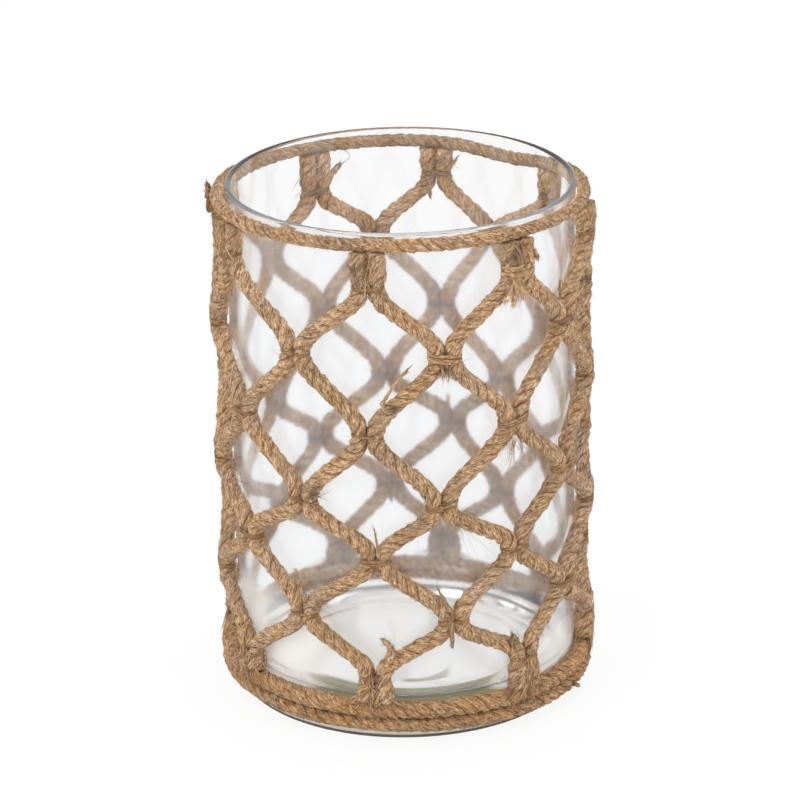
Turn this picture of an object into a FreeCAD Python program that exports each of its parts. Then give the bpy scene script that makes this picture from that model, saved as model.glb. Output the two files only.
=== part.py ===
import FreeCAD, Part
import math
import os

# A clear glass cylinder dressed in a net of jute rope, with one rope round its rim and two
# round its foot. All sizes are millimetres, +Z is up and the origin is the middle of the
# underside. Angles run round the axis from the front (-Y) towards the right (+X).
Vector = FreeCAD.Vector

# Glass cylinder
GLASS_DIAMETER = 131.0
GLASS_HEIGHT = 200.0
WALL_THICKNESS = 3.0
FLOOR_THICKNESS = 8.0
INNER_CORNER_RADIUS = 16.0
HEEL_RADIUS = 1.5
PUNT_RADIUS = 47.0
PUNT_DEPTH = 0.3
PUNT_EDGE_WIDTH = 1.5

# Ropes
NET_ROPE_DIAMETER = 5.6
RIM_ROPE_DIAMETER = 5.6
FOOT_ROPE_DIAMETER = 6.2
FOOT_ROPE_LIFT = 3.8
RIM_ROPE_BELOW_RIM = 5.0

# The round ropes slope a little: how much lower the low side is, and where the high side is
RIM_ROPE_DROP = 4.2
RIM_ROPE_HIGH_SIDE = 0.0
FOOT_ROPE_DROP = 2.9
FOOT_ROPE_HIGH_SIDE = -56.0

# Twine ties that hold the net ropes together in pairs
TWINE_THICKNESS = 0.8
TIE_HEIGHT = 3.6
TIE_TURNS = 3
TIE_GROOVE_DEPTH = 0.25

# Clearances
GLASS_TO_ROPE = 0.30
ROPE_TO_ROPE = 0.20
ROPE_END_GAP = 0.35
TIE_GAP = 0.20
TIE_SIDE_SLACK = 0.25
TIE_STRAIGHT_MARGIN = 2.4
ROPE_BUTT_GAP = 0.30

# Where the two ends of each round rope meet, in degrees
RIM_ROPE_JOINT = 262.0
UPPER_FOOT_ROPE_JOINT = 50.0
LOWER_FOOT_ROPE_JOINT = 200.0

# The net: eight columns of knots, and each second row stands half a column round.
# A row's height is its share of the way up from the foot ropes to the rim rope.
COLUMNS = 8
COLUMN_PITCH = 360.0 / COLUMNS
FIRST_COLUMN = -57.0
ROW_SHARES = [0.940, 0.787, 0.621, 0.458, 0.332, 0.191, 0.054]

# How far each hand-tied knot strays round from its even place, in degrees, row by row
KNOT_TURN = [
    [-7.0, 2.0, 4.0, 2.0, -1.0, 0.0, -4.0, -2.0],
    [0.5, 2.0, 2.0, -0.5, 2.5, -2.0, -5.5, -4.5],
    [-0.5, 1.0, 2.0, 2.0, 0.0, -1.5, -5.0, -2.0],
    [2.0, 0.5, 2.0, 0.5, -1.5, -4.5, -5.5, -4.5],
    [1.0, 3.0, 2.5, 6.0, 2.0, -5.0, -3.0, -2.0],
    [1.5, 4.0, 2.0, 2.5, -1.5, -5.5, -6.5, -4.5],
    [-1.0, 2.0, 6.0, 7.0, 1.0, -1.5, -10.0, -4.0],
]

# How far each knot stands above its row's height, in millimetres, row by row
KNOT_RISE = [
    [0.5, 0.0, 2.0, 1.5, -1.5, -0.5, -5.0, -0.5],
    [-1.5, -0.5, 2.5, 1.5, 2.5, 1.0, -1.5, -6.5],
    [-2.5, -1.5, -0.5, 1.5, 0.5, 0.5, 1.5, -0.5],
    [-1.0, -1.0, 2.0, 2.0, 2.0, 0.0, -2.5, -4.0],
    [-0.5, 0.0, -0.5, -0.5, 3.0, 2.0, -1.0, -2.0],
    [-0.3, -0.8, 1.7, -0.3, 0.2, -0.8, 1.7, -1.8],
    [-2.3, 0.7, 1.7, -0.3, -0.3, 0.7, -0.3, -0.3],
]

# Shape of a slanting stretch of net rope between two knots: share of its height, share of its turn
SLANT_POINTS = [(0.22, 0.17), (0.50, 0.50), (0.78, 0.83)]

# A bend takes this share of the shorter run beside it
BEND_SHARE = 0.45

# Sizes that follow from the values above
glass_radius = GLASS_DIAMETER / 2
net_rope_radius = NET_ROPE_DIAMETER / 2
rim_rope_radius = RIM_ROPE_DIAMETER / 2
foot_rope_radius = FOOT_ROPE_DIAMETER / 2

rim_rope_ring = glass_radius + GLASS_TO_ROPE + rim_rope_radius
rim_rope_height = GLASS_HEIGHT - RIM_ROPE_BELOW_RIM
foot_rope_ring = glass_radius + GLASS_TO_ROPE + foot_rope_radius
lower_foot_height = FOOT_ROPE_LIFT + foot_rope_radius
upper_foot_height = lower_foot_height + FOOT_ROPE_DIAMETER + ROPE_TO_ROPE

net_bottom = upper_foot_height + foot_rope_radius + ROPE_END_GAP
net_top = rim_rope_height - rim_rope_radius - ROPE_END_GAP

slant_ring = glass_radius + GLASS_TO_ROPE + net_rope_radius
pair_offset = net_rope_radius + ROPE_TO_ROPE / 2
knot_depth = glass_radius + 2 * TIE_GAP + TWINE_THICKNESS + net_rope_radius
knot_ring = math.hypot(knot_depth, pair_offset)
pair_half_angle = math.degrees(math.asin(pair_offset / knot_ring))
knot_half_run = TIE_HEIGHT / 2 + TIE_STRAIGHT_MARGIN
tie_end = pair_offset + TIE_SIDE_SLACK


def on_ring(angle, height, ring):
    """Point at an angle in degrees and a height on a round ring about the axis."""
    turn = math.radians(angle)
    return Vector(ring * math.sin(turn), -ring * math.cos(turn), height)


def knot_place(row, column):
    """Angle and height of one knot; even rows stand on the columns, odd rows half way."""
    half_step = COLUMN_PITCH / 2 if row % 2 else 0.0
    angle = FIRST_COLUMN + column * COLUMN_PITCH + half_step + KNOT_TURN[row][column]
    height = net_bottom + (net_top - net_bottom) * ROW_SHARES[row] + KNOT_RISE[row][column]
    return angle, height


def slope_at(angle, drop, high_side):
    """How far a sloping round rope lies above its middle height at an angle."""
    return drop / 2 * math.cos(math.radians(angle - high_side))


def nearest_turn(angle, target):
    """The target angle, moved by whole turns to lie within half a turn of the first."""
    return target + 360.0 * round((angle - target) / 360.0)


def glass_cylinder():
    """The open glass: thick floor with a dished underside, round corners and a melted rim."""
    inner_radius = glass_radius - WALL_THICKNESS
    rim_radius = WALL_THICKNESS / 2
    rim_centre = GLASS_HEIGHT - rim_radius
    inner_flat = inner_radius - INNER_CORNER_RADIUS
    corner_top = FLOOR_THICKNESS + INNER_CORNER_RADIUS
    bend = math.sqrt(0.5)
    punt_edge = PUNT_RADIUS + PUNT_EDGE_WIDTH
    heel_middle = Vector(glass_radius - HEEL_RADIUS * (1 - bend), 0, HEEL_RADIUS * (1 - bend))
    rim_top = Vector(glass_radius - rim_radius, 0, GLASS_HEIGHT)
    corner_middle = Vector(
        inner_flat + INNER_CORNER_RADIUS * bend, 0, corner_top - INNER_CORNER_RADIUS * bend
    )
    corners = [
        Vector(0, 0, PUNT_DEPTH),
        Vector(PUNT_RADIUS, 0, PUNT_DEPTH),
        Vector(punt_edge, 0, 0),
        Vector(glass_radius - HEEL_RADIUS, 0, 0),
        Vector(glass_radius, 0, HEEL_RADIUS),
        Vector(glass_radius, 0, rim_centre),
        Vector(inner_radius, 0, rim_centre),
        Vector(inner_radius, 0, corner_top),
        Vector(inner_flat, 0, FLOOR_THICKNESS),
        Vector(0, 0, FLOOR_THICKNESS),
    ]
    edges = [
        Part.LineSegment(corners[0], corners[1]).toShape(),
        Part.LineSegment(corners[1], corners[2]).toShape(),
        Part.LineSegment(corners[2], corners[3]).toShape(),
        Part.Arc(corners[3], heel_middle, corners[4]).toShape(),
        Part.LineSegment(corners[4], corners[5]).toShape(),
        Part.Arc(corners[5], rim_top, corners[6]).toShape(),
        Part.LineSegment(corners[6], corners[7]).toShape(),
        Part.Arc(corners[7], corner_middle, corners[8]).toShape(),
        Part.LineSegment(corners[8], corners[9]).toShape(),
        Part.LineSegment(corners[9], corners[0]).toShape(),
    ]
    section = Part.Face(Part.Wire(edges))
    return section.revolve(Vector(0, 0, 0), Vector(0, 0, 1), 360)


def ring_rope(ring, radius, joint):
    """A rope bent into one level turn round the glass, its two cut ends butted at the joint angle."""
    butt_angle = math.degrees(ROPE_BUTT_GAP / ring)
    start = joint + butt_angle / 2
    section = Part.Face(Part.Wire(Part.Circle(Vector(0, -ring, 0), Vector(1, 0, 0), radius).toShape()))
    rope = section.revolve(Vector(0, 0, 0), Vector(0, 0, 1), 360 - butt_angle)
    rope.rotate(Vector(0, 0, 0), Vector(0, 0, 1), start)
    return rope


def sloped(rope, ring, drop, high_side, height):
    """A level turn of rope, tilted towards its high side and set at its middle height."""
    turn = math.radians(high_side)
    slope = math.degrees(math.atan2(drop / 2, ring))
    rope.rotate(Vector(0, 0, 0), Vector(math.cos(turn), math.sin(turn), 0), -slope)
    rope.translate(Vector(0, 0, height))
    return rope


def rim_rope():
    """The rope under the rim, a little higher at the front than at the back."""
    rope = ring_rope(rim_rope_ring, rim_rope_radius, RIM_ROPE_JOINT)
    return sloped(rope, rim_rope_ring, RIM_ROPE_DROP, RIM_ROPE_HIGH_SIDE, rim_rope_height)


def foot_rope(height, joint):
    """One of the two turns of rope round the foot, both lowest at the right and behind."""
    rope = ring_rope(foot_rope_ring, foot_rope_radius, joint)
    return sloped(rope, foot_rope_ring, FOOT_ROPE_DROP, FOOT_ROPE_HIGH_SIDE, height)


def rounded_path(points):
    """Straight runs joined by tangent arcs through the points; gives the wire and its radii."""
    edges = []
    radii = []
    last = points[0]
    for before, corner, after in zip(points, points[1:], points[2:]):
        way_in = corner - before
        way_out = after - corner
        reach = BEND_SHARE * min(way_in.Length, way_out.Length)
        half_turn = way_in.getAngle(way_out) / 2
        radius = reach / math.tan(half_turn)
        way_in.normalize()
        way_out.normalize()
        arc_start = corner - way_in * reach
        arc_end = corner + way_out * reach
        inward = (way_out - way_in).normalize()
        arc_middle = corner + inward * (radius / math.cos(half_turn) - radius)
        edges.append(Part.LineSegment(last, arc_start).toShape())
        edges.append(Part.Arc(arc_start, arc_middle, arc_end).toShape())
        radii.append(radius)
        last = arc_end
    edges.append(Part.LineSegment(last, points[-1]).toShape())
    return Part.Wire(edges), radii


def strand_knots(column, side):
    """Angle, height and side of each knot that one net rope passes, from the top down.

    A rope starts on one side of its column's top knot. In each odd row it lies against the
    rope of the next column on that side, and in each even row it is back at its own column.
    """
    knots = []
    last_angle = FIRST_COLUMN + column * COLUMN_PITCH
    for row in range(len(ROW_SHARES)):
        if row % 2 == 0:
            angle, height = knot_place(row, column)
            lies = side
        else:
            neighbour = column if side > 0 else (column - 1) % COLUMNS
            angle, height = knot_place(row, neighbour)
            lies = -side
        last_angle = nearest_turn(last_angle, angle)
        knots.append((last_angle + lies * pair_half_angle, height))
    return knots


def strand_route(column, side):
    """Points of one net rope's centre line, from under the rim rope to the foot ropes."""
    knots = strand_knots(column, side)
    first_angle = knots[0][0]
    upper_end = net_top + slope_at(first_angle, RIM_ROPE_DROP, RIM_ROPE_HIGH_SIDE)
    points = [on_ring(first_angle, upper_end, knot_ring)]
    for upper, lower in zip(knots, knots[1:]):
        leave_height = upper[1] - knot_half_run
        reach_height = lower[1] + knot_half_run
        points.append(on_ring(upper[0], leave_height, knot_ring))
        for down_share, turn_share in SLANT_POINTS:
            angle = upper[0] + (lower[0] - upper[0]) * turn_share
            height = leave_height + (reach_height - leave_height) * down_share
            points.append(on_ring(angle, height, slant_ring))
        points.append(on_ring(lower[0], reach_height, knot_ring))
    last_angle = knots[-1][0]
    lower_end = net_bottom + slope_at(last_angle, FOOT_ROPE_DROP, FOOT_ROPE_HIGH_SIDE)
    points.append(on_ring(last_angle, lower_end, knot_ring))
    return points


def net_strand(column, side):
    """One net rope, round in section, with its two ends cut square."""
    points = strand_route(column, side)
    path, radii = rounded_path(points)
    outline = Part.Wire(Part.Circle(points[0], points[1] - points[0], net_rope_radius).toShape())
    rope = path.makePipeShell([outline], True, False)
    expected = math.pi * net_rope_radius**2 * path.Length
    print("net rope", column, side, "length", round(path.Length, 1), "tightest bend", round(min(radii), 1))
    print("volume over section times length", round(rope.Volume / expected, 4))
    return rope


def tie_section(inner):
    """Cut face of a tie's turns of twine, side by side, standing on the hole's edge."""
    turn_height = TIE_HEIGHT / TIE_TURNS
    foot = inner + TWINE_THICKNESS - TIE_GROOVE_DEPTH
    bottom = -TIE_HEIGHT / 2
    edges = [Part.LineSegment(Vector(inner, 0, bottom), Vector(foot, 0, bottom)).toShape()]
    for turn in range(TIE_TURNS):
        low = Vector(foot, 0, bottom + turn * turn_height)
        middle = Vector(inner + TWINE_THICKNESS, 0, low.z + turn_height / 2)
        high = Vector(foot, 0, low.z + turn_height)
        edges.append(Part.Arc(low, middle, high).toShape())
    edges.append(Part.LineSegment(Vector(foot, 0, -bottom), Vector(inner, 0, -bottom)).toShape())
    edges.append(Part.LineSegment(Vector(inner, 0, -bottom), Vector(inner, 0, bottom)).toShape())
    return Part.Face(Part.Wire(edges))


def knot_tie():
    """One tie about the origin: twine wound round two ropes that stand side by side along X."""
    section = tie_section(net_rope_radius + TIE_GAP)
    right_end = section.copy()
    right_end.translate(Vector(tie_end, 0, 0))
    right_end.rotate(Vector(tie_end, 0, 0), Vector(0, 0, 1), -90)
    right_round = right_end.revolve(Vector(tie_end, 0, 0), Vector(0, 0, 1), 180)
    left_round = right_round.copy()
    left_round.rotate(Vector(0, 0, 0), Vector(0, 0, 1), 180)
    front_run = right_end.extrude(Vector(-2 * tie_end, 0, 0))
    back_run = front_run.copy()
    back_run.rotate(Vector(0, 0, 0), Vector(0, 0, 1), 180)
    tie = right_round.multiFuse([left_round, front_run, back_run])
    return tie.removeSplitter()


def knot_ties(row, pattern):
    """The eight ties of one row, each set round the pair of ropes at its knot."""
    ties = []
    for column in range(COLUMNS):
        angle, height = knot_place(row, column)
        tie = pattern.copy()
        tie.rotate(Vector(0, 0, 0), Vector(0, 0, 1), angle)
        tie.translate(on_ring(angle, height, knot_depth))
        ties.append(tie)
    return Part.makeCompound(ties)


def build():
    """Every piece of the lantern, by node name."""
    nodes = {
        "glass_cylinder": glass_cylinder(),
        "rim_rope": rim_rope(),
        "foot_rope_upper": foot_rope(upper_foot_height, UPPER_FOOT_ROPE_JOINT),
        "foot_rope_lower": foot_rope(lower_foot_height, LOWER_FOOT_ROPE_JOINT),
    }
    number = 1
    for column in range(COLUMNS):
        for side in (-1, 1):
            nodes[f"net_strand_{number:02d}"] = net_strand(column, side)
            number += 1
    pattern = knot_tie()
    for row in range(len(ROW_SHARES)):
        nodes[f"knot_ties_row_{row + 1}"] = knot_ties(row, pattern)
    return nodes


os.makedirs("parts", exist_ok=True)
for name, shape in build().items():
    shape.exportStep(f"parts/{name}.step")
    print(name, "valid", shape.isValid(), "solids", len(shape.Solids), "volume", round(shape.Volume, 1))
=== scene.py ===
# %% [markdown]
# A hurricane lantern: an open cylinder of clear glass for a candle, dressed in a net of jute rope.
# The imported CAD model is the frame. It gives the size of every piece, and this script gives each
# piece its finish. All lengths are metres, +Z is up, and angles run round the axis of the glass
# from the front (-Y) towards the right (+X).

# %% Load the frame
import bpy
import math
import numpy as np
from mathutils import Matrix, Vector


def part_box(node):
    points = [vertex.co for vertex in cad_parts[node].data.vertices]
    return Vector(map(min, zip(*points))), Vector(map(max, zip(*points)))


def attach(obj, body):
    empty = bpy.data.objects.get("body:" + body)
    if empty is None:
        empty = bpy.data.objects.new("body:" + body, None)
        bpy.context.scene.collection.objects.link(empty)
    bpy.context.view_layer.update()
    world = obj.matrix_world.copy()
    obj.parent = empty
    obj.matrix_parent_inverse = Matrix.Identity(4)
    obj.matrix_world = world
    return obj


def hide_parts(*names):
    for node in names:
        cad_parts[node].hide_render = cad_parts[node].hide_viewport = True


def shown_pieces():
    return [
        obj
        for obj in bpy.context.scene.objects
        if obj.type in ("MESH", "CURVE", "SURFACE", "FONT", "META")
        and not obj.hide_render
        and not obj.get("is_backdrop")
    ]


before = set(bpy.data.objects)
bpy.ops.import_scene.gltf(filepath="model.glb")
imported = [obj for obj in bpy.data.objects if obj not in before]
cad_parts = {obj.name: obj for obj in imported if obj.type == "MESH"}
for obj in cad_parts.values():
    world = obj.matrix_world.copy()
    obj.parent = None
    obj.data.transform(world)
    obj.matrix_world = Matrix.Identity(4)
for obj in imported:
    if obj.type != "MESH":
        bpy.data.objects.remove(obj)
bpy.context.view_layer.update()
MM = 0.001
random = np.random.default_rng(1862)

# %% [markdown]
# The camera comes first. A long lens far away could be guessed by eye, but the glass is a known
# circle at its rim and at its foot, so the place of the lens was worked out from how flat those two
# circles look in the photograph.

# %% Camera
CAMERA_PLACE = (0.0, -1.2721, 0.60875)
CAMERA_PITCH = 0.372917
CAMERA_YAW = -0.0010207
CAMERA_ROLL = -0.0151617
FOCAL_PIXELS = 3582.26
PICTURE_SIDE = 800

camera_data = bpy.data.cameras.new("camera")
camera_data.sensor_width = 36.0
camera_data.lens = camera_data.sensor_width * FOCAL_PIXELS / PICTURE_SIDE
camera_data.clip_start = 0.05
camera_data.clip_end = 30.0
camera = bpy.data.objects.new("camera", camera_data)
bpy.context.scene.collection.objects.link(camera)
camera.location = CAMERA_PLACE
turn_left = Matrix.Rotation(-CAMERA_YAW, 3, "Z")
look_down = Matrix.Rotation(math.pi / 2 - CAMERA_PITCH, 3, "X")
lean = Matrix.Rotation(CAMERA_ROLL, 3, "Z")
camera.rotation_euler = (turn_left @ look_down @ lean).to_euler()
bpy.context.scene.camera = camera
print("lens", round(camera_data.lens, 1), "mm")

# %% [markdown]
# Three small helpers serve every material. The first turns the hex colours that painters and web
# pages use into the linear light that the renderer works in. The second adds a shader node with its
# settings and its inputs in a single call, which keeps a node tree readable as a list. The third
# starts an empty material.


# %% Helpers for materials
def linear(hex_colour):
    """sRGB hex to linear RGBA: each channel above 0.04 is ((c + 0.055) / 1.055) to the power 2.4."""
    channels = [int(hex_colour[i:i + 2], 16) / 255 for i in (0, 2, 4)]
    lit = [c / 12.92 if c <= 0.04045 else ((c + 0.055) / 1.055) ** 2.4 for c in channels]
    return (*lit, 1.0)


def add(tree, kind, inputs=None, **settings):
    """Adds a node and sets its properties or input defaults by name.

    The inputs go by name or number, and each gets a link from another node's output or a constant.
    """
    node = tree.nodes.new(kind)
    for name, value in settings.items():
        if hasattr(node, name):
            setattr(node, name, value)
        else:
            node.inputs[name.replace("_", " ")].default_value = value
    for key, value in (inputs or {}).items():
        if isinstance(value, bpy.types.NodeSocket):
            tree.links.new(value, node.inputs[key])
        else:
            node.inputs[key].default_value = value
    return node


def new_material(name):
    """An empty node material with its output node."""
    material = bpy.data.materials.new(name)
    material.use_nodes = True
    material.node_tree.nodes.clear()
    return material, material.node_tree, add(material.node_tree, "ShaderNodeOutputMaterial")


# %% [markdown]
# The lantern stands on white in front of white, as in a catalogue. Evenly lit white card would be
# the studio's way, but in a render it turns grey or washes out the rope. So the table and the world
# answer by the kind of ray that meets them. The camera and the glass see white, and the rope gets
# the light that they really give. The renderer loses most of that light on its way through glass,
# so rope behind the glass gets more of it.

# %% What a ray meets behind the lantern
WHITE = (1, 1, 1, 1)
LIGHT_GAIN_THROUGH_GLASS = 2.87
WHITE_THROUGH_GLASS = 0.97


def background_light(tree, plain_shader, shadow_share, through_colour):
    """Mixes a surface with plain white by ray kind: the camera and the glass see mostly white."""
    path = add(tree, "ShaderNodeLightPath").outputs
    white = add(tree, "ShaderNodeEmission", Color=WHITE, Strength=1.0).outputs[0]
    lights_rope = add(tree, "ShaderNodeMath", {0: path["Diffuse Depth"], 1: 1.0}, operation="MINIMUM")
    gain = {0: lights_rope.outputs[0], 1: LIGHT_GAIN_THROUGH_GLASS, 2: WHITE_THROUGH_GLASS}
    strength = add(tree, "ShaderNodeMath", gain, operation="MULTIPLY_ADD")
    through = add(tree, "ShaderNodeEmission", {"Color": through_colour, "Strength": strength.outputs[0]})
    camera_share = add(
        tree, "ShaderNodeMath", {0: path["Is Camera Ray"], 1: 1 - shadow_share}, operation="MULTIPLY",
    )
    shown = plain_shader
    for share, seen in (
        (camera_share.outputs[0], white),
        (path["Is Glossy Ray"], white),
        (path["Is Transmission Ray"], through.outputs[0]),
    ):
        shown = add(tree, "ShaderNodeMixShader", {0: share, 1: shown, 2: seen}).outputs[0]
    return shown


# %% [markdown]
# The table is one large white square. Through the thick floor of the glass the photograph shows it
# a little darker, with a grey-green crescent at the front, a short arc right of the middle and a
# ring where the glass touches it. The darker floor, the crescent and the ring are shade on the table
# under the glass and round its foot, seen through the bends and the cast of the glass; here they are
# painted shade. They and a darker arc lie on the table as soft-edged shares of place and distance,
# and only rays through glass see them.

# %% Table
TABLE_SIDE = 6.0
TABLE_DROP = 0.05 * MM
CONTACT_SHADOW = 0.12
CENTRES = {"radius": (0, 0, 0), "crescent_radius": (0.004, 0, 0), "arc_radius": (0, -0.0062, 0)}
PAINTED_SHADE_AND_ARC_UNDER_GLASS = [
    # colour, and for each soft edge: its measure, where the colour begins and where it is complete
    # painted shade: the whole floor under the glass, a little darker
    ("F1EFEB", [("radius", 0.0640, 0.0600)]),
    # painted shade: the grey-green crescent at the front, the table's shade near the heel
    ("8B8762", [
        ("crescent_radius", 0.0385, 0.0435), ("radius", 0.0655, 0.0640),
        ("Y", -0.018, -0.028), ("X", -0.0440, -0.0380), ("X", 0.0400, 0.0330),
    ]),
    # a darker arc right of the middle
    ("A8A48F", [
        ("arc_radius", 0.0162, 0.0176), ("arc_radius", 0.0236, 0.0222),
        ("X", -0.004, 0.001), ("X", 0.018, 0.013), ("Y", 0.0, -0.010),
    ]),
    # painted contact shadow: the ring where the glass stands on the table
    ("B6B5B0", [("radius", 0.0615, 0.0630), ("radius", 0.0665, 0.0655)]),
]

table_material, tree, output = new_material("white_table_laminate")
laminate = add(tree, "ShaderNodeBsdfPrincipled", Roughness=0.9, Base_Color=linear("F6F6F6"))
place = add(tree, "ShaderNodeTexCoord").outputs["Object"]
measures = dict(add(tree, "ShaderNodeSeparateXYZ", {0: place}).outputs.items())
for name, centre in CENTRES.items():
    offset = add(tree, "ShaderNodeVectorMath", {0: place, 1: centre}, operation="SUBTRACT")
    distance = add(tree, "ShaderNodeVectorMath", {0: offset.outputs[0]}, operation="LENGTH")
    measures[name] = distance.outputs["Value"]
through = WHITE
# Each layer multiplies its colour into what rays through the glass see of the table.
for colour, edges in PAINTED_SHADE_AND_ARC_UNDER_GLASS:
    share = 1.0
    for measure, begins, complete in edges:
        step = add(
            tree, "ShaderNodeMapRange", {"Value": measures[measure]},
            interpolation_type="SMOOTHSTEP", From_Min=begins, From_Max=complete,
        )
        share = add(tree, "ShaderNodeMath", {0: step.outputs[0], 1: share}, operation="MULTIPLY").outputs[0]
    layer = add(
        tree, "ShaderNodeMix", {0: share, 6: through, 7: linear(colour)},
        data_type="RGBA", blend_type="MULTIPLY",
    )
    through = layer.outputs[2]
shown = background_light(tree, laminate.outputs[0], CONTACT_SHADOW, through)
tree.links.new(shown, output.inputs["Surface"])

side = TABLE_SIDE / 2
table_mesh = bpy.data.meshes.new("table")
corners = [(x, y, -TABLE_DROP) for x, y in ((-side, -side), (side, -side), (side, side), (-side, side))]
table_mesh.from_pydata(corners, [], [(0, 1, 2, 3)])
table_mesh.materials.append(table_material)
table = bpy.data.objects.new("table", table_mesh)
bpy.context.scene.collection.objects.link(table)
table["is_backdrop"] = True
print("table", TABLE_SIDE, "m across with", len(PAINTED_SHADE_AND_ARC_UNDER_GLASS), "shades under the glass")

# %% [markdown]
# The rope is lit by the white world and by four large soft lamps, so that its grooves stay readable
# without hard shadows. One small lamp would be simpler, but its shadows are sharp and black.

# %% World and lamps
WORLD_LIGHT = 1.0
LAMP_AIM = Vector((0, 0, 0.1))
LAMPS = [
    # name, place, side of its square, power in watts
    ("key_lamp", (-0.9, -1.0, 1.3), 0.7, 6.0),
    ("fill_lamp", (1.2, -0.9, 0.7), 0.9, 2.9),
    ("side_lamp", (-1.5, 0.1, 0.7), 0.9, 1.6),
    ("top_lamp", (0.1, 0.5, 1.6), 0.9, 3.0),
]
RAY_BOUNCES = 20
GLOSSY_BOUNCES = 8

world = bpy.data.worlds.new("studio")
bpy.context.scene.world = world
world.use_nodes = True
tree = world.node_tree
tree.nodes.clear()
sky = add(tree, "ShaderNodeBackground", Color=WHITE, Strength=WORLD_LIGHT)
shown = background_light(tree, sky.outputs[0], 0.0, WHITE)
tree.links.new(shown, add(tree, "ShaderNodeOutputWorld").inputs["Surface"])

for name, place, width, power in LAMPS:
    lamp_data = bpy.data.lights.new(name, "AREA")
    lamp_data.shape = "SQUARE"
    lamp_data.size = width
    lamp_data.energy = power
    lamp = bpy.data.objects.new(name, lamp_data)
    bpy.context.scene.collection.objects.link(lamp)
    lamp.location = place
    lamp.rotation_euler = (lamp.location - LAMP_AIM).to_track_quat("Z", "Y").to_euler()

bpy.context.scene.view_settings.view_transform = "Standard"
bpy.context.scene.cycles.max_bounces = RAY_BOUNCES
bpy.context.scene.cycles.transmission_bounces = RAY_BOUNCES
bpy.context.scene.cycles.glossy_bounces = GLOSSY_BOUNCES
print("lamps", [name for name, *rest in LAMPS])

# %% [markdown]
# Jute rope is dry plant fibre, spun into yarn, twisted into three strands and laid into a rope. The
# eye reads it as golden straw with darker grooves, fine streaks that run along each strand, and a
# few brown flecks. The streaks have to follow the rope wherever it bends, so they are not drawn in
# the object's own axes. Every rope vertex carries where it lies on the rope: two numbers round the
# rope and one along it, all in millimetres, and the noise is read at that place.


# %% Jute material
def jute_material(name, colours, groove_shade_colour, fleck_colour, bump):
    """Dry fibre: streaks along the lay, painted shade in the grooves, brown flecks, slow changes of colour.
    """
    material, tree, output = new_material(name)
    lay = add(tree, "ShaderNodeAttribute", attribute_name="lay")
    groove = add(tree, "ShaderNodeAttribute", attribute_name="groove")
    tone = add(tree, "ShaderNodeAttribute", attribute_name="tone")
    noises = {}
    for part, size, detail in (
        ("streak", (1 / 0.46, 1 / 0.46, 1 / 1.5), 4.0),
        ("fleck", (1 / 0.55, 1 / 0.55, 1 / 1.3), 2.0),
        ("patch", (1 / 1.5, 1 / 1.5, 1 / 3.6), 2.0),
    ):
        scaled = add(tree, "ShaderNodeVectorMath", {0: lay.outputs["Vector"], 1: size}, operation="MULTIPLY")
        noise = add(
            tree, "ShaderNodeTexNoise", {"Vector": scaled.outputs[0]},
            Scale=1.0, Detail=detail, Roughness=0.62,
        )
        noises[part] = noise.outputs["Fac"]
    streaks = add(tree, "ShaderNodeValToRGB", {"Fac": noises["streak"]})
    ramp = streaks.color_ramp
    for element, position, colour in zip(ramp.elements, (0.31, 0.69), (colours[0], colours[-1])):
        element.position = position
        element.color = linear(colour)
    for position, colour in zip((0.43, 0.54), colours[1:-1]):
        ramp.elements.new(position).color = linear(colour)
    patch = add(
        tree, "ShaderNodeMapRange", {"Value": noises["patch"]},
        From_Min=0.3, From_Max=0.7, To_Min=0.72, To_Max=1.26,
    )
    toned = streaks.outputs["Color"]
    for share in (patch.outputs[0], tone.outputs["Vector"]):
        toned = add(tree, "ShaderNodeVectorMath", {0: toned, 1: share}, operation="MULTIPLY").outputs[0]
    is_fleck = add(
        tree, "ShaderNodeMapRange", {"Value": noises["fleck"]},
        From_Min=0.59, From_Max=0.66, To_Min=0.0, To_Max=0.85,
    )
    coloured = toned
    for share, colour in ((is_fleck.outputs[0], fleck_colour), (groove.outputs["Fac"], groove_shade_colour)):
        mixed = add(tree, "ShaderNodeMix", {0: share, 6: coloured, 7: linear(colour)}, data_type="RGBA")
        coloured = mixed.outputs[2]
    relief = add(tree, "ShaderNodeBump", {"Height": noises["streak"]}, Strength=bump, Distance=0.45 * MM)
    fibre = add(
        tree, "ShaderNodeBsdfPrincipled",
        {"Base Color": coloured, "Normal": relief.outputs[0], "Specular IOR Level": 0.2},
        Roughness=0.9, Sheen_Weight=0.17, Sheen_Roughness=0.5, Sheen_Tint=linear("F0E2C8"),
    )
    tree.links.new(fibre.outputs[0], output.inputs["Surface"])
    return material


ROPE_STREAKS = ("6E4428", "A57D57", "C6A684", "E6CFAE")
TWINE_STREAKS = ("694325", "8E6642", "AE8862", "CDAD86")
# The third colour is painted shade in the grooves between the strands, the fourth the flecks.
jute_rope = jute_material("jute_rope_three_strand", ROPE_STREAKS, "5E371E", "4E2B14", 0.8)
jute_twine = jute_material("jute_twine_fine", TWINE_STREAKS, "5A361C", "482913", 0.6)
print("materials", jute_rope.name, jute_twine.name)

# %% [markdown]
# Clear soda-lime glass bends light by an index of 1.5 and swallows a little red and blue, so thick
# places look grey-green. The colour therefore belongs in the volume, not on the surface: a thin
# wall stays clear and the thick floor gains its cast by itself. Glue and handling leave a dull veil
# on parts of it, and a thin dark line of painted shadow runs along the heel. Three values at the
# points of the mesh say where: how much veil there is, how far its colour goes from haze to glue,
# and where the painted heel shadow runs.

# %% Glass material
HAZE_COLOUR = (0.62, 0.67, 0.75, 1)
GLUE_COLOUR = linear("EFECE8")
# Painted shadow: the dark line along the heel, where the glass stands on the table.
HEEL_SHADOW_COLOUR = linear("5C5C50")
CAST_COLOUR = (0.80, 0.815, 0.80, 1)
CAST_DENSITY = 9.0

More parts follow.
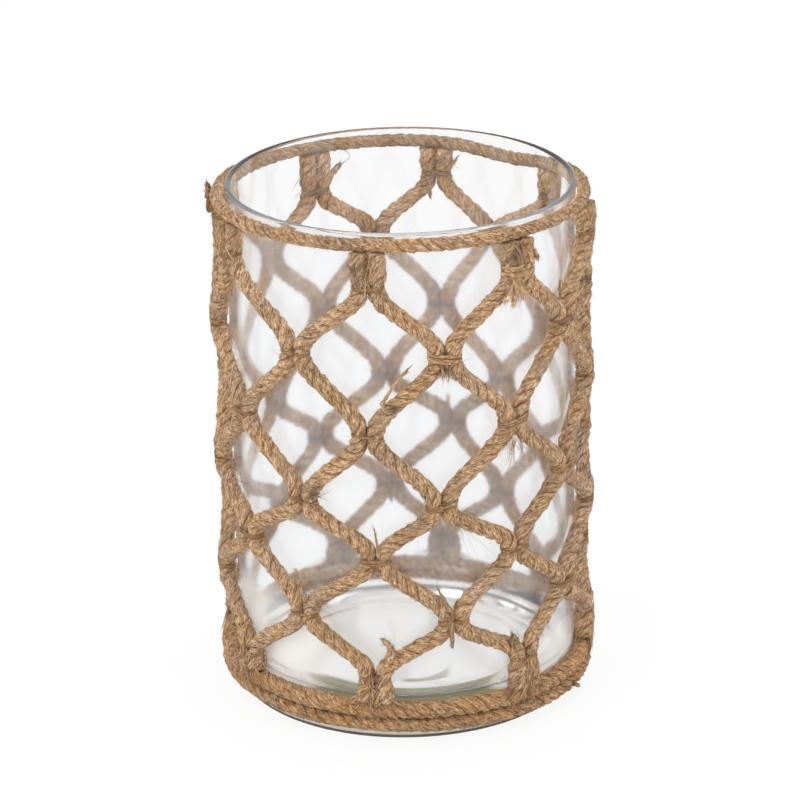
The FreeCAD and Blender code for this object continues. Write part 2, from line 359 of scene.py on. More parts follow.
glass_material, tree, output = new_material("clear_soda_lime_glass")
clear = add(
    tree, "ShaderNodeBsdfPrincipled", Base_Color=WHITE, Roughness=0.06, IOR=1.5, Transmission_Weight=1.0,
)
cast = add(tree, "ShaderNodeVolumeAbsorption", Color=CAST_COLOUR, Density=CAST_DENSITY)
colour = HAZE_COLOUR
for name, next_colour in (("film", GLUE_COLOUR), ("edge", HEEL_SHADOW_COLOUR)):
    share = add(tree, "ShaderNodeAttribute", attribute_name=name).outputs["Fac"]
    colour = add(tree, "ShaderNodeMix", {0: share, 6: colour, 7: next_colour}, data_type="RGBA").outputs[2]
dull = add(tree, "ShaderNodeBsdfDiffuse", {"Color": colour})
veil = add(tree, "ShaderNodeAttribute", attribute_name="veil").outputs["Fac"]
veiled = add(tree, "ShaderNodeMixShader", {0: veil, 1: clear.outputs[0], 2: dull.outputs[0]})
tree.links.new(veiled.outputs[0], output.inputs["Surface"])
tree.links.new(cast.outputs[0], output.inputs["Volume"])
print("material", glass_material.name)

# %% [markdown]
# The net is laid out knot by knot, as it was tied. Eight columns of knots stand round the glass
# and each second row stands half a column round. The same places drive the CAD model, so the net
# ropes here follow its solids.

# %% Sizes and the net's layout
glass_low, glass_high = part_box("glass_cylinder")
GLASS_RADIUS = (glass_high.x - glass_low.x) / 2
GLASS_HEIGHT = glass_high.z
NET_ROPE_RADIUS = 3.0 * MM
RIM_ROPE_RADIUS = 2.8 * MM
FOOT_ROPE_RADIUS = 3.2 * MM
GLASS_TO_ROPE = 0.30 * MM
PAIR_OFFSET = 2.72 * MM
KNOT_DEPTH = GLASS_RADIUS + 4.0 * MM
KNOT_HALF_RUN = 3.5 * MM
NET_BOTTOM = 16.75 * MM
NET_TOP = 191.85 * MM
RIM_ROPE_HEIGHT = 194.45 * MM
LOWER_FOOT_HEIGHT = 6.9 * MM
UPPER_FOOT_HEIGHT = 13.3 * MM
RIM_ROPE_DROP = 4.2 * MM
RIM_ROPE_HIGH_SIDE = 0.0
FOOT_ROPE_DROP = 2.9 * MM
FOOT_ROPE_HIGH_SIDE = -56.0
COLUMNS = 8
COLUMN_PITCH = 360 / COLUMNS
FIRST_COLUMN = -57.0
ROW_SHARES = [0.940, 0.787, 0.621, 0.458, 0.332, 0.191, 0.054]
KNOT_TURN = [
    [-7.0, 2.0, 4.0, 2.0, -1.0, 0.0, -4.0, -2.0],
    [0.5, 2.0, 2.0, -0.5, 2.5, -2.0, -5.5, -4.5],
    [-0.5, 1.0, 2.0, 2.0, 0.0, -1.5, -5.0, -2.0],
    [2.0, 0.5, 2.0, 0.5, -1.5, -4.5, -5.5, -4.5],
    [1.0, 3.0, 2.5, 6.0, 2.0, -5.0, -3.0, -2.0],
    [1.5, 4.0, 2.0, 2.5, -1.5, -5.5, -6.5, -4.5],
    [-1.0, 2.0, 6.0, 7.0, 1.0, -1.5, -10.0, -4.0],
]
KNOT_RISE = [
    [0.5, 0.0, 2.0, 1.5, -1.5, -0.5, -5.0, -0.5],
    [-1.5, -0.5, 2.5, 1.5, 2.5, 1.0, -1.5, -6.5],
    [-2.5, -1.5, -0.5, 1.5, 0.5, 0.5, 1.5, -0.5],
    [-1.0, -1.0, 2.0, 2.0, 2.0, 0.0, -2.5, -4.0],
    [-0.5, 0.0, -0.5, -0.5, 3.0, 2.0, -1.0, -2.0],
    [-0.3, -0.8, 1.7, -0.3, 0.2, -0.8, 1.7, -1.8],
    [-2.3, 0.7, 1.7, -0.3, -0.3, 0.7, -0.3, -0.3],
]
SLANT_POINTS = [(0.22, 0.17), (0.50, 0.50), (0.78, 0.83)]
ROWS = len(ROW_SHARES)


def on_ring(angle, height, ring):
    """Points at angles in degrees and heights on a ring: (ring sin, -ring cos, height)."""
    turn, height, ring = np.broadcast_arrays(np.radians(angle), height, ring)
    return np.stack([ring * np.sin(turn), -ring * np.cos(turn), height], axis=-1)


def slope_at(angle, drop, high_side):
    """How far a sloping round rope lies above its middle height at an angle."""
    return drop / 2 * np.cos(np.radians(angle - high_side))


def knot_place(row, column):
    """Angle in degrees and height of one knot."""
    half_step = COLUMN_PITCH / 2 if row % 2 else 0.0
    angle = FIRST_COLUMN + column * COLUMN_PITCH + half_step + KNOT_TURN[row][column]
    height = NET_BOTTOM + (NET_TOP - NET_BOTTOM) * ROW_SHARES[row] + KNOT_RISE[row][column] * MM
    return angle, height


print("front knots", [tuple(round(v, 3) for v in knot_place(row, 1)) for row in range(ROWS)])

# %% [markdown]
# A rope's line is a smooth curve that is pulled towards a few points. A polyline would kink at each
# point, and a curve forced through every point can swing wide between them. A quadratic B-spline
# does neither: it touches the middle of each leg and turns inside each corner.


# %% A smooth line through a route
def smooth_line(points, step):
    """Quadratic B-spline of a route, sampled evenly.

    Between the middles of two legs the curve is (1-t)^2 A + 2t(1-t) B + t^2 C, where A and C are
    the middles and B is the corner. Both ends run straight to their points.
    """
    points = np.asarray(points, float)
    middles = (points[1:] + points[:-1]) / 2
    t = np.linspace(0, 1, 24, endpoint=False)[None, :, None]
    start, corner, end = middles[:-1, None], points[1:-1, None], middles[1:, None]
    bends = ((1 - t) ** 2 * start + 2 * t * (1 - t) * corner + t**2 * end).reshape(-1, 3)
    dense = np.concatenate([points[:1], bends, middles[-1:], points[-1:]])
    run = np.concatenate([[0.0], np.cumsum(np.linalg.norm(np.diff(dense, axis=0), axis=1))])
    even = np.linspace(0, run[-1], max(2, int(round(run[-1] / step)) + 1))
    return np.stack([np.interp(even, run, dense[:, axis]) for axis in range(3)], axis=-1), even


def unit(vectors):
    """Each vector divided by its length."""
    return vectors / np.maximum(np.linalg.norm(vectors, axis=-1, keepdims=True), 1e-12)


def line_frame(line):
    """Along, outward and sideways directions at each point of a line that runs on the glass."""
    along = unit(np.gradient(line, axis=0))
    radial = unit(line * np.array([1.0, 1.0, 0.0]))
    outward = unit(radial - along * (radial * along).sum(-1, keepdims=True))
    return along, outward, np.cross(along, outward)


def wander(run, spacing, size):
    """A smooth random value along a run: random numbers every spacing, joined by cosine steps."""
    count = int(run[-1] / spacing) + 3
    values = random.normal(0, size, count)
    place = run / spacing
    left = np.floor(place).astype(int)
    blend = (1 - np.cos(np.pi * (place - left))) / 2
    return values[left] * (1 - blend) + values[left + 1] * blend


# %% [markdown]
# The rope itself is one closed skin. Its section is the outline of three round strands pressed
# together, and the outline turns as it travels, one full turn for each lay of 14 mm. Three separate
# tubes would spend half their faces inside the rope. The rows of the grid follow the strands, so
# each groove stays sharp. The colour drifts a little along the rope, as it does in real jute.

# %% The skin of a three-strand rope
LAY_LENGTH = 14.4 * MM
RING_STEP = 0.82 * MM
RING_POINTS = 36
STRAND_CENTRE = 0.24
FIBRE_TURN_SHARE = 0.45
ROUGHNESS = 0.15 * MM
END_BULGE = 0.3 * MM
GOLDEN_CHANGE = np.array([0.02, 0.0, -0.06])


def strand_outline(angle):
    """Distance from the rope's axis to its skin, as a share of its radius.

    Within a third of a turn the skin is a circle of radius b about a centre at distance a, so the
    distance is a cos(q) + sqrt(b^2 - a^2 sin^2(q)), with q measured from that strand's middle.
    """
    third = 2 * math.pi / 3
    q = (angle + third / 2) % third - third / 2
    b = 1 - STRAND_CENTRE
    distance = STRAND_CENTRE * np.cos(q) + np.sqrt(b**2 - (STRAND_CENTRE * np.sin(q)) ** 2)
    closeness = np.abs(q) / (third / 2)
    return distance, closeness**7


def grid_faces(rows, columns):
    """Quads of a grid of rows whose columns close into a ring."""
    row = np.arange(rows - 1)[:, None] * columns
    here = np.arange(columns)[None, :]
    after = (here + 1) % columns
    quads = np.stack([row + here, row + after, row + columns + after, row + columns + here], axis=-1)
    return quads.reshape(-1, 4)


def pole_faces(rows, columns):
    """Triangles that close a grid's first and last rows to two points that follow the grid."""
    here = np.arange(columns)
    after = (here + 1) % columns
    last_row = (rows - 1) * columns
    first = np.stack([after, here, np.full(columns, rows * columns)], axis=-1)
    last = np.stack([last_row + here, last_row + after, np.full(columns, rows * columns + 1)], axis=-1)
    return first.tolist() + last.tolist()


def make_piece(name, points, faces, material, values, replaced=()):
    """Puts arrays of points and faces into a mesh object, with its named point values."""
    mesh = bpy.data.meshes.new(name)
    mesh.from_pydata(points.tolist(), [], faces)
    mesh.polygons.foreach_set("use_smooth", np.ones(len(mesh.polygons), bool))
    print(name, len(points), "points")
    for key, value in values.items():
        if value.ndim == 2:
            mesh.attributes.new(key, "FLOAT_VECTOR", "POINT").data.foreach_set("vector", value.ravel())
        else:
            mesh.attributes.new(key, "FLOAT", "POINT").data.foreach_set("value", value.ravel())
    mesh.materials.append(material)
    mesh.update()
    piece = bpy.data.objects.new(name, mesh)
    bpy.context.scene.collection.objects.link(piece)
    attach(piece, "root")
    if replaced:
        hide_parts(*replaced)
    return piece


def rope_skin(line, run, radius, phase, tint):
    """Points, faces and point values of a three-strand rope of varying radius along a line."""
    along, outward, sideways = line_frame(line)
    turn = 2 * math.pi * run / LAY_LENGTH + phase + wander(run, 22 * MM, 0.35)
    section = np.linspace(0, 2 * math.pi, RING_POINTS, endpoint=False)
    share, groove = strand_outline(section)
    strand = np.floor(((section + math.pi / 3) % (2 * math.pi)) / (2 * math.pi / 3)).astype(int)
    fullness = 1 + np.stack([wander(run, 5 * MM, 0.035) for _ in range(3)], axis=-1)[:, strand]
    uneven = 1 + wander(run, 17 * MM, 0.02)[:, None]
    coarse = random.normal(0, 1, (len(run) + 2, RING_POINTS))
    coarse = (coarse[:-2] + 2 * coarse[1:-1] + coarse[2:]) / 2.5
    reach = radius[:, None] * share[None, :] * fullness * uneven + coarse * ROUGHNESS
    angle = section[None, :] + turn[:, None]
    skin = line[:, None] + reach[..., None] * (
        np.cos(angle)[..., None] * outward[:, None] + np.sin(angle)[..., None] * sideways[:, None]
    )
    tips = [line[:1] - along[:1] * END_BULGE, line[-1:] + along[-1:] * END_BULGE]
    points = np.concatenate([skin.reshape(-1, 3), *tips])
    faces = grid_faces(len(run), RING_POINTS).tolist() + pole_faces(len(run), RING_POINTS)
    fibre_angle = angle - FIBRE_TURN_SHARE * turn[:, None] + random.uniform(0, 6.28)
    place = np.stack([
        radius[:, None] / MM * np.cos(fibre_angle), radius[:, None] / MM * np.sin(fibre_angle),
        np.broadcast_to(run[:, None] / MM, fibre_angle.shape) + random.uniform(0, 900),
    ], axis=-1).reshape(-1, 3)
    place = np.concatenate([place, place[:1], place[-1:]])
    shown = np.clip(0.56 + wander(run, 4 * MM, 0.34), 0.08, 1.0)
    depth = np.concatenate([(shown[:, None] * groove[None, :]).ravel(), [0.2, 0.2]])
    tone = 1 + np.repeat(wander(run, 12 * MM, 0.06), RING_POINTS) + random.normal(0, 0.02)
    golden = np.repeat(wander(run, 9 * MM, 1.0), RING_POINTS)[:, None] * GOLDEN_CHANGE
    tone = (tone[:, None] + golden) * np.repeat(tint, RING_POINTS, axis=0)
    tone = np.concatenate([tone, tint[:1], tint[-1:]])
    return points, faces, {"lay": place, "groove": depth, "tone": tone}


# %% [markdown]
# What makes rope look like rope is the fuzz: fibre ends that leave the yarn and catch the light. A
# hair system would be lost when the model is exported, so each fibre is a thin spike of ten
# triangles, bent a little, grown from a random place on the rope's skin. About half lie almost flat
# along the lay, and the others lift off and curl beyond the rope's outline.

# %% Stray fibres
FIBRE_RADIUS = 0.05 * MM
FLAT_FIBRES_PER_METRE = 2200
LOOSE_FIBRES_PER_METRE = 1900
FIBRE_ROWS = 3


def spikes(start, way, length, bend, radius, rows):
    """Thin bent spikes: the line is start + way t + bend t^2, and three sides close to a point."""
    count = len(start)
    t = np.linspace(0, 1, rows)[None, :, None]
    line = start[:, None] + (way[:, None] * t + bend[:, None] * t**2) * length[:, None, None]
    heading = unit(way[:, None] + 2 * bend[:, None] * t)
    helper = np.where(np.abs(heading[..., 2:3]) < 0.9, [[[0.0, 0.0, 1.0]]], [[[1.0, 0.0, 0.0]]])
    first = unit(np.cross(heading, helper))
    second = np.cross(heading, first)
    angle = np.arange(3) * 2 * math.pi / 3
    rings = line[:, :-1, None] + radius[:, None, None, None] * (1 - 0.5 * t[:, :-1, None]) * (
        np.cos(angle)[None, None, :, None] * first[:, :-1, None]
        + np.sin(angle)[None, None, :, None] * second[:, :-1, None]
    )
    each = 3 * (rows - 1) + 1
    points = np.concatenate([rings.reshape(count, -1, 3), line[:, -1:]], axis=1).reshape(-1, 3)
    tip_row = 3 * (rows - 2)
    tips = np.array([[tip_row + k, tip_row + (k + 1) % 3, each - 1] for k in range(3)])
    shift = (np.arange(count) * each)[:, None, None]
    quads = (grid_faces(rows - 1, 3)[None] + shift).reshape(-1, 4).tolist()
    triangles = (np.concatenate([tips, [[2, 1, 0]]])[None] + shift).reshape(-1, 3).tolist()
    return points, quads + triangles, each


def fibre_values(count, each, low, high, tint):
    """Point values of fibres: each has one colour, from one random place in the pattern."""
    lay = np.repeat(random.uniform(0, 60, (count, 3)), each, axis=0)
    tone = np.repeat(random.uniform(low, high, count)[:, None] * np.array(tint), each, axis=0)
    return {"lay": lay, "groove": np.zeros(len(lay)), "tone": tone}


def rope_fibres(line, run, radius, count, loose, tint):
    """Stray fibres of one rope: flat ones follow the lay, loose ones lift off and curl."""
    along, outward, sideways = line_frame(line)
    at = random.integers(3, len(run) - 3, count)
    angle = random.uniform(0, 2 * math.pi, count)[:, None]
    normal = np.cos(angle) * outward[at] + np.sin(angle) * sideways[at]
    around = np.cross(along[at], normal)
    sense = random.choice([-1, 1], count)[:, None]
    if loose:
        way = normal * random.uniform(0.25, 1.1, count)[:, None] + along[at] * sense
        way += around * random.normal(0, 0.7, count)[:, None]
        length = np.clip(random.lognormal(0.25, 0.55, count), 0.5, 5.0) * MM
        bend = random.normal(0, 0.35, (count, 3))
        depth, thickness = 0.84, random.uniform(0.7, 1.1, count) * FIBRE_RADIUS
    else:
        way = normal * random.uniform(0.02, 0.16, count)[:, None] + along[at] * sense
        way += around * sense * random.normal(0.45, 0.40, count)[:, None]
        length = random.uniform(1.2, 3.6, count) * MM
        bend = -normal * (length * 0.5 / NET_ROPE_RADIUS * 0.3)[:, None] + random.normal(0, 0.05, (count, 3))
        depth, thickness = 0.95, random.uniform(0.8, 1.6, count) * FIBRE_RADIUS
    start = line[at] + normal * (radius[at] * depth)[:, None]
    points, faces, each = spikes(start, unit(way), length, bend, thickness, FIBRE_ROWS)
    return points, faces, fibre_values(count, each, 0.62, 1.42, tint[at])


def join(*parts):
    """Joins meshes given as points, faces and point values."""
    points, faces, values, offset = [], [], {}, 0
    for part_points, part_faces, part_values in parts:
        points.append(part_points)
        faces += [[corner + offset for corner in face] for face in part_faces]
        offset += len(part_points)
        for key, value in part_values.items():
            values.setdefault(key, []).append(value)
    return np.concatenate(points), faces, {key: np.concatenate(value) for key, value in values.items()}


def make_rope(name, line, run, radius, tint):
    """One rope: its skin and its stray fibres, in one piece that replaces its node."""
    tint = np.broadcast_to(tint, (len(run), 3))
    flat = rope_fibres(line, run, radius, int(run[-1] * FLAT_FIBRES_PER_METRE), False, tint)
    loose = rope_fibres(line, run, radius, int(run[-1] * LOOSE_FIBRES_PER_METRE), True, tint)
    skin = rope_skin(line, run, radius, random.uniform(0, 6.28), tint)
    points, faces, values = join(skin, flat, loose)
    make_piece(name, points, faces, jute_rope, values, [name])


# %% [markdown]
# Three ropes go round the glass: one just under the rim and two turns round the foot. None of them
# is level, because they were glued on by hand. The rim rope is the thinnest and sags between two
# bundles at the back, as the photograph shows it, where its rod in the frame is thicker and does not
# sag. The turn that the net's ends are pressed onto is the fattest.

# %% Ropes round the rim and the foot
ROUND_SAMPLES = 800
FRONT_SWELL = 0.3 * MM
FRONT_HALF_ANGLE = 55.0
DARKER_FOOT = (0.92, 0.84, 0.73)
RIM_TINT = (0.96, 0.94, 0.93)
# Painted shade: how much darker the back of the rim rope is.
BACK_SHADE = 0.40
RIM_THINNESS = 0.88
RIM_BACK_LIFT = 1.2 * MM
RIM_SAG_ANGLE = 141.0
RIM_SAG_DEPTH = 3.1 * MM
RIM_SAG_WIDTH = 18.0


def rim_shift(line):
    """How far the rim rope lies above an even slope: lift (1 - cos) / 2, less a bell where it sags."""
    angle = np.degrees(np.arctan2(line[:, 0], -line[:, 1]))
    from_sag = (angle - RIM_SAG_ANGLE + 180) % 360 - 180
    sag = RIM_SAG_DEPTH * np.exp(-((from_sag / RIM_SAG_WIDTH) ** 2))
    return RIM_BACK_LIFT * (1 - np.cos(np.radians(angle))) / 2 - sag


def no_shift(line):
    """A rope that lies on an even slope."""
    return 0.0


def round_rope(name, height, drop, high_side, joint, radius_at, tint_at, thinness=1.0, shift=no_shift):
    """A sloping turn of rope whose inner side touches the glass all the way round."""
    angle = np.linspace(joint + 0.15, joint + 359.85, ROUND_SAMPLES)
    radius = radius_at(angle)
    ring = GLASS_RADIUS + GLASS_TO_ROPE / 2 + radius
    line = on_ring(angle, height + slope_at(angle, drop, high_side), ring)
    run = np.concatenate([[0.0], np.cumsum(np.linalg.norm(np.diff(line, axis=0), axis=1))])
    even = np.linspace(0, run[-1], int(run[-1] / RING_STEP))
    line = np.stack([np.interp(even, run, line[:, axis]) for axis in range(3)], axis=-1)
    line[:, 2] += shift(line)
    radius = np.interp(even, run, radius) * thinness
    make_rope(name, line, even, radius, tint_at(line))
    return line, even, radius


def even_radius(radius):
    """A radius that is the same all the way round."""
    return lambda angle: np.full_like(angle, radius)


def fat_at_front(angle):
    """The upper foot rope, thicker where loose fibres of the net are pressed over it."""
    from_front = (angle + 180) % 360 - 180
    return FOOT_ROPE_RADIUS + FRONT_SWELL * np.exp(-((from_front / FRONT_HALF_ANGLE) ** 4))


def rim_tint_and_back_shade(line):
    """The rim rope's tint, with painted shade that darkens its back."""
    back = np.clip((line[:, 1:2] / GLASS_RADIUS + 0.1) / 0.5, 0, 1)
    return np.array(RIM_TINT) * (1 - BACK_SHADE * back)


ring_lines = {
    "rim_rope": round_rope(
        "rim_rope", RIM_ROPE_HEIGHT, RIM_ROPE_DROP, RIM_ROPE_HIGH_SIDE, 262.0, even_radius(RIM_ROPE_RADIUS),
        rim_tint_and_back_shade, RIM_THINNESS, rim_shift,
    ),
    "foot_rope_upper": round_rope(
        "foot_rope_upper", UPPER_FOOT_HEIGHT, FOOT_ROPE_DROP, FOOT_ROPE_HIGH_SIDE, 50.0, fat_at_front,
        lambda line: DARKER_FOOT,
    ),
    "foot_rope_lower": round_rope(
        "foot_rope_lower", LOWER_FOOT_HEIGHT, FOOT_ROPE_DROP, FOOT_ROPE_HIGH_SIDE, 200.0,
        even_radius(FOOT_ROPE_RADIUS - 0.15 * MM), lambda line: DARKER_FOOT,
    ),
}
for name, (line, run, radius) in ring_lines.items():
    print(name, "length in mm", round(run[-1] / MM), "rows", len(run))

# %% [markdown]
# Each net rope starts on one side of its column's top knot and zigzags down the glass. In every
# row it lies against a neighbour, held by a tie that squeezes both, and between the rows it lies
# against the glass. It swells beside each tie and at its ends, where the strands come loose. At the
# back it is painted darker, a little all along and most at the knots: painted shade.

# %% Net ropes
SQUEEZE = 0.08
SQUEEZE_LENGTH = 1.5 * MM
SWELL = 0.14
SWELL_LENGTH = 7.0 * MM
END_SWELL = 0.16
LOOSE_END = 5.0 * MM
END_SPREAD = {"top": 0.45, "foot": 0.8}
# Painted shade: the net is darker at the back, a little all along and most at the knots.
BACK_DARKENING = 0.05
KNOT_SHADE_AT_BACK = np.array([0.22, 0.30, 0.40])
SLANT_RING = GLASS_RADIUS + 3.1 * MM
knot_ring = math.hypot(KNOT_DEPTH, PAIR_OFFSET)
pair_half_angle = math.degrees(math.asin(PAIR_OFFSET / knot_ring))


def strand_knots(column, side):
    """Angle and height where one net rope passes each row, from the top down."""
    knots = []
    last_angle = FIRST_COLUMN + column * COLUMN_PITCH
    for row in range(ROWS):
        neighbour = column if row % 2 == 0 or side > 0 else (column - 1) % COLUMNS
        lies = side if row % 2 == 0 else -side
        angle, height = knot_place(row, neighbour)
        last_angle = angle + 360 * round((last_angle - angle) / 360)
        knots.append((last_angle + lies * pair_half_angle, height))
    return knots


def strand_route(knots, side):
    """The route's points, from under the rim rope to the foot ropes, where the ends spread a little."""
    top_angle = knots[0][0] + side * END_SPREAD["top"]
    route = [on_ring(top_angle, NET_TOP + slope_at(top_angle, RIM_ROPE_DROP, RIM_ROPE_HIGH_SIDE), knot_ring)]
    for upper, lower in zip(knots, knots[1:]):
        leave = upper[1] - KNOT_HALF_RUN
        reach = lower[1] + KNOT_HALF_RUN
        route.append(on_ring(upper[0], leave, knot_ring))
        for down_share, turn_share in SLANT_POINTS:
            angle = upper[0] + (lower[0] - upper[0]) * turn_share
            route.append(on_ring(angle, leave + (reach - leave) * down_share, SLANT_RING))
        route.append(on_ring(lower[0], reach, knot_ring))
    low_angle = knots[-1][0] + side * END_SPREAD["foot"]
    low_height = NET_BOTTOM + slope_at(low_angle, FOOT_ROPE_DROP, FOOT_ROPE_HIGH_SIDE)
    route.append(on_ring(low_angle, low_height, knot_ring))
    return np.array(route)


strand_lines = {}
for column in range(COLUMNS):
    for side in (-1, 1):
        name = f"net_strand_{2 * column + (1 if side < 0 else 2):02d}"
        knots = strand_knots(column, side)
        line, run = smooth_line(strand_route(knots, side), RING_STEP)
        heights = np.array([height for angle, height in knots])
        line[:, 2] += rim_shift(line) * np.clip((line[:, 2] - heights[0]) / (NET_TOP - heights[0]), 0, 1)
        from_knot = np.abs(line[:, 2:3] - heights[None, :]).min(axis=1)
        pinch = np.exp(-((from_knot / SQUEEZE_LENGTH) ** 2))
        swell = np.exp(-((from_knot / SWELL_LENGTH) ** 4))
        beyond = np.maximum(line[:, 2] - heights[0], heights[-1] - line[:, 2])
        loosened = np.clip(beyond / LOOSE_END, 0, 1)
        radius = NET_ROPE_RADIUS * (1 + SWELL * swell - (SQUEEZE + SWELL) * pinch + END_SWELL * loosened)
        at_back = np.clip(line[:, 1] / GLASS_RADIUS / 0.5, 0, 1)
        painted_back_shade = at_back[:, None] * (BACK_DARKENING + swell[:, None] * KNOT_SHADE_AT_BACK)
        make_rope(name, line, run, radius, 1 - 0.05 * loosened[:, None] - painted_back_shade)
        strand_lines[name] = (line, run, radius)
print("net rope in all", round(sum(run[-1] for line, run, radius in strand_lines.values()), 2), "m")

# %% [markdown]
# Fine twine holds each pair of net ropes together: about two to four turns, tight and tucked in.
# The turns are one long thread on a path round two circles, a helix whose loop is a stadium. Three
# ties at the front are of thicker and paler twine, with turns that can be counted. All eight ties
# of a row are one piece, as they are one node in the frame.

# %% Ties
TWINE_RADIUS = 0.50 * MM
TWINE_FLATNESS = 0.62
TURN_SAMPLES = 30
TWINE_POINTS = 6
TIE_ROPE_RADIUS = NET_ROPE_RADIUS * (1 - SQUEEZE)
TIE_TURNS = [
    [3.2, 2.2, 4.4, 3.0, 3.4, 2.6, 3.2, 2.4],
    [1.6, 3.4, 2.3, 3.1, 2.2, 3.3, 1.8, 2.6],
    [2.4, 1.5, 3.3, 2.2, 3.1, 2.3, 2.6, 1.7],
    [1.6, 1.7, 2.8, 2.5, 1.8, 3.2, 2.4, 2.1],
    [2.2, 1.6, 2.5, 3.1, 2.4, 1.9, 3.0, 2.3],
    [1.5, 2.2, 1.8, 2.7, 3.1, 2.2, 1.6, 2.5],
    [2.6, 2.1, 2.9, 1.9, 2.4, 3.0, 2.2, 2.7],
]
HEAVY_TIES = {
    # row and column: thickness and tint
    (0, 2): (0.70 * MM, (1.30, 1.46, 1.62)),
    (1, 1): (0.62 * MM, (1.70, 1.82, 1.95)),
    (2, 2): (0.58 * MM, (1.20, 1.26, 1.35)),
}
# Painted shade: the plain ties at the back are darker.
BACK_TIE_SHADE = 0.7
LONG_FIBRE_ROWS = 4
KNOT_FIBRES = 40
KNOT_FIBRE_REACH_MM = 3.6


def stadium(share, half_gap, radius):
    """Place at a share of the way round two half circles joined by straight runs, and its outward way."""
    straight, arc = 2 * half_gap, math.pi * radius
    way = (share % 1.0) * 2 * (straight + arc)
    on_arc_right = np.clip(way - straight, 0, arc) / radius
    on_arc_left = np.clip(way - 2 * straight - arc, 0, arc) / radius
    x = -half_gap + np.clip(way, 0, straight) - np.clip(way - straight - arc, 0, straight)
    bend = on_arc_right + on_arc_left
    return np.stack([x + radius * np.sin(bend), radius * np.cos(bend)], axis=-1), bend


def thread_skin(line, radius, flatness, sides, seed_out):
    """Skin of a thin thread along a line, flattened towards the body it is wound on."""
    along = unit(np.gradient(line, axis=0))
    outward = unit(seed_out - along * (seed_out * along).sum(-1, keepdims=True))
    sideways = np.cross(along, outward)
    angle = np.linspace(0, 2 * math.pi, sides, endpoint=False)
    ring = (
        np.cos(angle)[None, :, None] * outward[:, None] * flatness
        + np.sin(angle)[None, :, None] * sideways[:, None]
    )
    skin = (line[:, None] + ring * radius[:, None, None]).reshape(-1, 3)
    rows = len(line)
    faces = grid_faces(rows, sides).tolist()
    faces.append(list(range(sides))[::-1])
    faces.append([(rows - 1) * sides + k for k in range(sides)])
    return skin, faces, angle


def thread_lay(ring, steps, width):
    """A thread's places in the fibre pattern: in each row a circle of a width, at that row's step."""
    return np.stack([
        np.tile(np.cos(ring) * width, len(steps)), np.tile(np.sin(ring) * width, len(steps)),
        np.repeat(steps, len(ring)) + random.uniform(0, 900),
    ], axis=-1)


def directions(angle):
    """Sideways, outward and upward unit vectors at an angle round the glass."""
    return on_ring(angle + 90, 0.0, 1.0), on_ring(angle, 0.0, 1.0), np.array([0.0, 0.0, 1.0])


def tie_line(angle, height, turns, thickness):
    """The thread of one tie: turns round both ropes, climbing a thread's width each turn."""
    share = np.arange(0, turns, 1 / TURN_SAMPLES)
    reach = TIE_ROPE_RADIUS + thickness * TWINE_FLATNESS - 0.1 * MM + (thickness - TWINE_RADIUS) * 3
    flat, bend = stadium(share + random.uniform(0, 1), PAIR_OFFSET, reach)
    pitch = 2 * thickness * random.uniform(0.86, 1.0)
    rise = (share - turns / 2) * pitch + wander(share * 10 * MM + 1e-6, 7 * MM, 0.18 * MM)
    lean = random.normal(0, 0.09)
    sideways, outward, up = directions(angle)
    centre = on_ring(angle, height, KNOT_DEPTH)
    line = centre + flat[:, :1] * sideways + flat[:, 1:] * outward + (rise + lean * flat[:, 0])[:, None] * up
    away = np.sin(bend)[:, None] * sideways + np.cos(bend)[:, None] * outward
    return line, away


def tie_parts(angle, height, turns, thickness, tint):
    """Skin and point values of one tie."""
    line, away = tie_line(angle, height, turns, thickness)
    thickness = thickness * (1 + wander(np.arange(len(line)) * 1.0 * MM, 6 * MM, 0.14))
    skin, faces, ring = thread_skin(line, thickness, TWINE_FLATNESS, TWINE_POINTS, away)
    lay = thread_lay(ring, np.arange(len(line)) * 0.95, 0.5)
    tone = random.uniform(0.72, 0.98) * np.tile(tint, (len(lay), 1))
    return skin, faces, {"lay": lay, "groove": np.full(len(lay), 0.05), "tone": tone}


def long_fibres(start, way, length, bend, radius, low, high, tint=(1.0, 1.0, 1.0)):
    """Longer spikes with their point values: tones between low and high, times a tint."""
    points, faces, each = spikes(start, way, length, bend, radius, LONG_FIBRE_ROWS)
    return points, faces, fibre_values(len(start), each, low, high, tint)


def knot_fibres(angle, height):
    """Loose fibres drawn across a knot from one rope to the other, on its outer side."""
    sideways, outward, up = directions(angle)
    count = KNOT_FIBRES
    across = random.uniform(-1, 1, count)[:, None]
    rise = random.uniform(-KNOT_FIBRE_REACH_MM, KNOT_FIBRE_REACH_MM, count)[:, None] * MM
    waist = 1 - 0.10 * np.exp(-((rise / MM) ** 2))
    reach = KNOT_DEPTH + NET_ROPE_RADIUS * np.sqrt(1 - 0.55 * across**2) * waist
    start = reach * outward + (height + rise) * up + across * 5.0 * MM * sideways
    turn = random.uniform(-0.9, 0.9, count)[:, None]
    turn = turn + np.where(random.random(count) < 0.5, 0, math.pi)[:, None]
    lift = random.uniform(0.0, 0.2, count)[:, None]
    way = unit(np.cos(turn) * sideways + np.sin(turn) * up + lift * outward)
    bend = -0.30 * outward + random.normal(0, 0.14, (count, 3))
    length = random.uniform(2.0, 6.0, count) * MM
    return long_fibres(start, way, length, bend, random.uniform(1.0, 2.2, count) * FIBRE_RADIUS, 0.7, 1.25)


for row in range(ROWS):
    places = [knot_place(row, column) for column in range(COLUMNS)]
    parts = []
    for column, place in enumerate(places):
        plain = BACK_TIE_SHADE if np.cos(np.radians(place[0])) < -0.2 else 1.0
        thickness, tint = HEAVY_TIES.get((row, column), (TWINE_RADIUS, (plain, plain, plain)))
        parts.append(tie_parts(*place, TIE_TURNS[row][column], thickness, tint))
    parts += [knot_fibres(*place) for place in places]
    name = f"knot_ties_row_{row + 1}"
    points, faces, values = join(*parts)
    make_piece(name, points, faces, jute_twine, values, [name])
